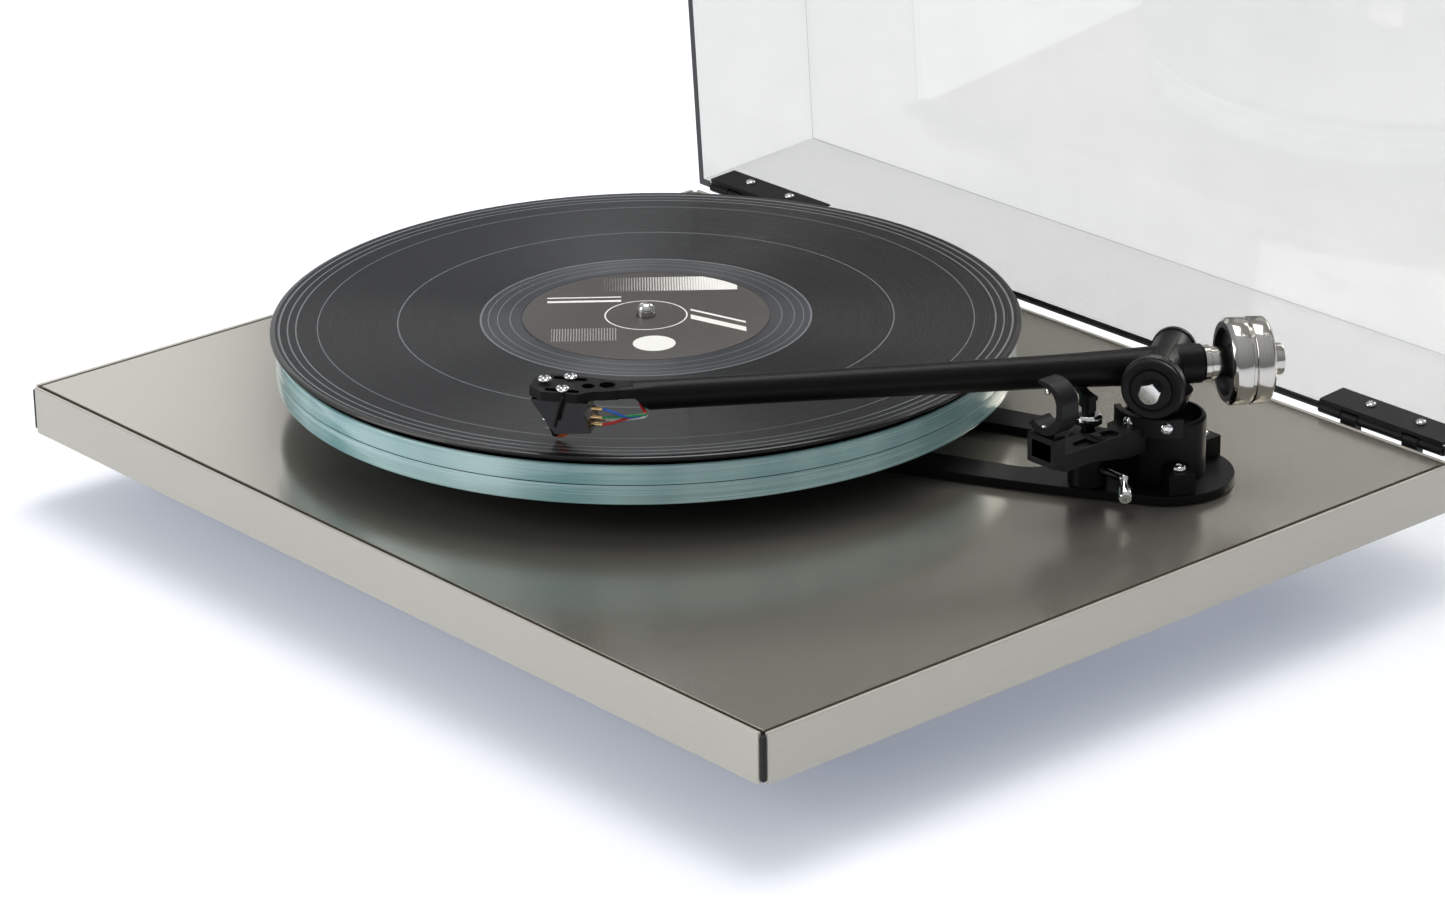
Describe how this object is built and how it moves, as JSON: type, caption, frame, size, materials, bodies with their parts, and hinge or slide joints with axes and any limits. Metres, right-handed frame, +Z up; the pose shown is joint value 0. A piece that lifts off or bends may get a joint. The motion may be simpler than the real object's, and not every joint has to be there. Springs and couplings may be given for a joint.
{
  "type": "turntable record player",
  "caption": "Belt-driven record player: slim plinth, glass platter with a record, straight tonearm with cartridge and counterweight, cueing lift and a hinged clear lid.",
  "frame": {"origin": "centre of the whole object's footprint with the lid open, on the surface it stands on", "axes": "+X to the right along the plinth's front edge, +Y towards the hinges, +Z up"},
  "size_m": [0.448, 0.4312, 0.4155],
  "materials": {
    "dark_core": "dark laminated core",
    "brushed_skin": "warm grey brushed metallic laminate",
    "satin_black": "satin black",
    "satin_black_alloy": "satin black coated alloy",
    "satin_trim": "light grey metallic edge trim",
    "rubber": "matte",
    "brass": "machined",
    "steel": "turned stainless",
    "chrome": "polished",
    "platter_glass": "clear float glass, green-blue edge",
    "felt": "black felt",
    "vinyl": "grooved black vinyl",
    "label_paper": "dark label with a pale abstract pattern",
    "moulded_black": "moulded black",
    "amber_plastic": "amber stylus carrier",
    "lead_wire": "coloured insulated leads",
    "clear_acrylic": "clear acrylic"
  },
  "bodies": {
    "deck": {"plinth_core": "dark_core", "plinth_top_skin": "brushed_skin", "plinth_bottom_skin": "satin_black", "edge_trim_front": "satin_trim", "edge_trim_right": "satin_trim", "edge_trim_back": "satin_trim", "edge_trim_left": "satin_trim", "foot_front_left": "rubber", "foot_front_right": "rubber", "foot_rear": "rubber", "top_brace": "satin_black", "bottom_brace": "satin_trim", "main_bearing_housing": "brass", "motor_body": "steel", "drive_belt": "rubber", "power_cable_gland": "rubber", "signal_cable_gland": "rubber", "arm_base": "satin_black", "base_screw_1": "chrome", "base_screw_2": "chrome", "base_screw_3": "chrome", "rest_carrier": "moulded_black", "rest_clip": "moulded_black", "lift_housing": "satin_black", "hinge_base_left": "moulded_black", "hinge_base_right": "moulded_black", "hinge_pin_left": "steel", "hinge_pin_right": "steel"},
    "platter": {"subplatter": "moulded_black", "centre_spindle": "chrome", "platter_glass_lower": "platter_glass", "platter_glass_upper": "platter_glass", "platter_mat": "felt", "record": "vinyl", "record_label": "label_paper"},
    "pulley": {"motor_pulley": "steel"},
    "arm_bearing": {"arm_yoke": "satin_black", "bearing_cross_spindle": "chrome"},
    "dial": {"tracking_dial": "moulded_black"},
    "tonearm": {"arm_tube": "satin_black_alloy", "counterweight_stub": "steel", "headshell_screw_1": "chrome", "headshell_screw_2": "chrome", "headshell_screw_3": "chrome", "finger_lift": "satin_black", "cartridge_body": "moulded_black", "stylus_assembly": "amber_plastic", "cartridge_leads": "lead_wire"},
    "weight": {"counterweight": "steel"},
    "bias": {"bias_slider": "moulded_black"},
    "lift": {"lift_platform": "satin_black"},
    "lever": {"lift_lever": "chrome"},
    "cover": {"lid": "clear_acrylic", "hinge_clip_left": "moulded_black", "hinge_clip_right": "moulded_black", "hinge_screw_left_1": "chrome", "hinge_screw_left_2": "chrome", "hinge_screw_right_1": "chrome", "hinge_screw_right_2": "chrome"}
  },
  "joints": [
    {"name": "lid_hinge", "type": "hinge", "parent": "deck", "child": "cover", "pos_m": [0, 0.14663, 0.0506], "axis": [1, 0, 0], "range_deg": [0, 86.5]},
    {"name": "platter_spin", "type": "hinge", "parent": "deck", "child": "platter", "pos_m": [-0.044, -0.03877, 0.06], "axis": [0, 0, 1], "continuous": true},
    {"name": "pulley_spin", "type": "hinge", "parent": "deck", "child": "pulley", "pos_m": [-0.106, 0.02323, 0.055], "axis": [0, 0, 1], "continuous": true},
    {"name": "arm_swing", "type": "hinge", "parent": "deck", "child": "arm_bearing", "pos_m": [0.1583, 0.04933, 0.0962], "axis": [0, 0, 1], "range_deg": [-19.8, 29.4]},
    {"name": "arm_pitch", "type": "hinge", "parent": "arm_bearing", "child": "tonearm", "pos_m": [0.1583, 0.04933, 0.0962], "axis": [0.5446, -0.8387, 0], "range_deg": [-2.3, 0]},
    {"name": "dial_turn", "type": "hinge", "parent": "arm_bearing", "child": "dial", "pos_m": [0.1583, 0.04933, 0.0962], "axis": [0.5446, -0.8387, 0], "range_deg": [-180, 90]},
    {"name": "counterweight_slide", "type": "slide", "parent": "tonearm", "child": "weight", "axis": [-0.5149, -0.857, 0.0209], "range_m": [-0.004, 0.005]},
    {"name": "bias_slide", "type": "slide", "parent": "deck", "child": "bias", "axis": [0, 1, 0], "range_m": [-0.006, 0.006]},
    {"name": "lift_rise", "type": "slide", "parent": "deck", "child": "lift", "axis": [0, 0, 1], "range_m": [0, 0.0012]},
    {"name": "lever_turn", "type": "hinge", "parent": "deck", "child": "lever", "pos_m": [0.16, 0.01813, 0.061], "axis": [1, 0, 0], "range_deg": [-101, 0]}
  ],
  "couplings": [
    {"joint": "pulley_spin", "follows": "platter_spin", "ratio": 5.787},
    {"joint": "lever_turn", "follows": "arm_pitch", "ratio": 43.478},
    {"joint": "lift_rise", "follows": "arm_pitch", "m_per_rad": -0.0274}
  ]
}
